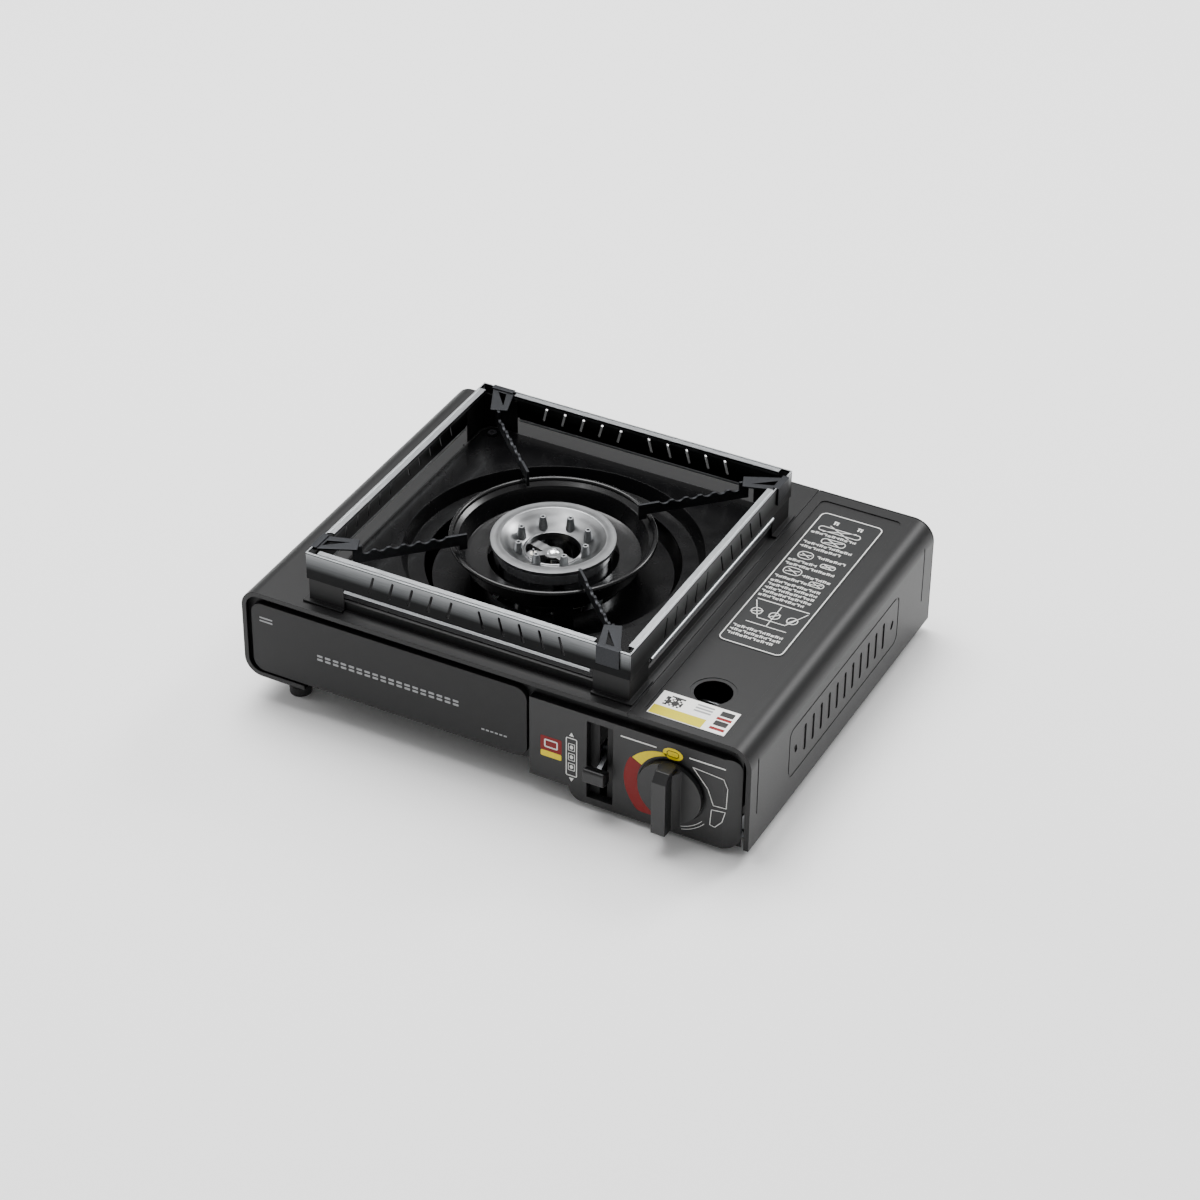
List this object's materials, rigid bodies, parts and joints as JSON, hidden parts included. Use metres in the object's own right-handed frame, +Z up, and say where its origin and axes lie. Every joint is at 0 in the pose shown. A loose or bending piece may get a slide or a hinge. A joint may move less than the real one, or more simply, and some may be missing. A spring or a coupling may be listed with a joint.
{
  "type": "portable gas stove",
  "caption": "Flat portable gas stove with a ring burner, square lift-off pot support with wind shields, a knob, a lever and a hinged lid over the cartridge bay.",
  "frame": {"origin": "on the ground, under the middle of the overall box", "axes": "+X along the front from left to right (the cartridge bay is on +X), +Y from the front panel to the rear panel, +Z up"},
  "size_m": [0.34, 0.28, 0.115],
  "materials": {
    "black_enamel": "satin",
    "black_plate": "satin",
    "black_steel": "satin",
    "bright_screw": "polished",
    "cast_aluminium": "satin",
    "ceramic": "gloss",
    "dark_steel": "satin",
    "foot_rubber": "matte",
    "grey_plastic": "matte",
    "label_film": "matte",
    "pale_plastic": "matte",
    "plated_steel": "satin",
    "red_wire": "gloss",
    "seal_rubber": "matte",
    "white_sticker": "matte",
    "yellow_brass": "satin"
  },
  "bodies": {
    "casing": {"base_tray": "dark_steel", "top_shell": "dark_steel", "rear_panel": "dark_steel", "front_frame": "dark_steel", "front_plate": "black_plate", "control_panel": "grey_plastic", "bay_partition": "plated_steel", "casing_screws": "bright_screw", "feet": "foot_rubber", "drip_pan": "black_enamel", "burner_dish": "black_enamel", "dish_brackets": "black_enamel", "burner_cup": "cast_aluminium", "burner_ring": "cast_aluminium", "burner_nozzles": "plated_steel", "burner_bridge": "plated_steel", "burner_screw": "bright_screw", "mixing_tube": "cast_aluminium", "gas_jet": "yellow_brass", "gas_pipe": "yellow_brass", "regulator_body": "cast_aluminium", "regulator_cap": "plated_steel", "regulator_screws": "bright_screw", "cartridge_socket": "yellow_brass", "socket_seal": "seal_rubber", "notch_guide": "plated_steel", "igniter_body": "pale_plastic", "igniter_electrode": "plated_steel", "electrode_insulator": "ceramic", "igniter_wire": "red_wire", "cartridge_cradle": "plated_steel", "heat_plate": "cast_aluminium", "lever_bracket": "plated_steel", "lever_pivot": "bright_screw", "hinge_brackets": "plated_steel", "hinge_pins": "bright_screw", "link_guides": "plated_steel"},
    "canister_lid": {"lid_shell": "dark_steel", "lid_hinge_ears": "plated_steel", "lid_label": "label_film", "lid_sticker": "white_sticker"},
    "knob": {"knob_cap": "grey_plastic", "valve_shaft": "yellow_brass", "igniter_cam": "pale_plastic"},
    "lever": {"lever_grip": "grey_plastic", "lever_arm": "plated_steel"},
    "pusher": {"link_bar": "plated_steel", "pusher_plate": "plated_steel"},
    "pot_support": {"support_wall_front": "black_steel", "support_wall_right": "black_steel", "support_wall_rear": "black_steel", "support_wall_left": "black_steel", "corner_brackets": "black_steel", "pot_arm_front_right": "black_enamel", "pot_arm_rear_right": "black_enamel", "pot_arm_rear_left": "black_enamel", "pot_arm_front_left": "black_enamel"}
  },
  "joints": [
    {"name": "lid_hinge", "type": "hinge", "parent": "casing", "child": "canister_lid", "pos_m": [0.166, 0, 0.008], "axis": [0, 1, 0], "range_deg": [0, 80]},
    {"name": "knob_turn", "type": "hinge", "parent": "casing", "child": "knob", "pos_m": [0.1205, -0.122, 0.035], "axis": [0, -1, 0], "range_deg": [0, 130]},
    {"name": "lever_swing", "type": "hinge", "parent": "casing", "child": "lever", "pos_m": [0.0735, -0.104, 0.035], "axis": [-1, 0, 0], "range_deg": [0, 45]},
    {"name": "pusher_slide", "type": "slide", "parent": "casing", "child": "pusher", "axis": [0, 1, 0], "range_m": [0, 0.0087]},
    {"name": "pot_support_lift", "type": "slide", "parent": "casing", "child": "pot_support", "axis": [0, 0, 1], "range_m": [0, 0.06]}
  ],
  "couplings": [
    {"joint": "lever_swing", "follows": "pusher_slide", "rad_per_m": 90.09}
  ]
}
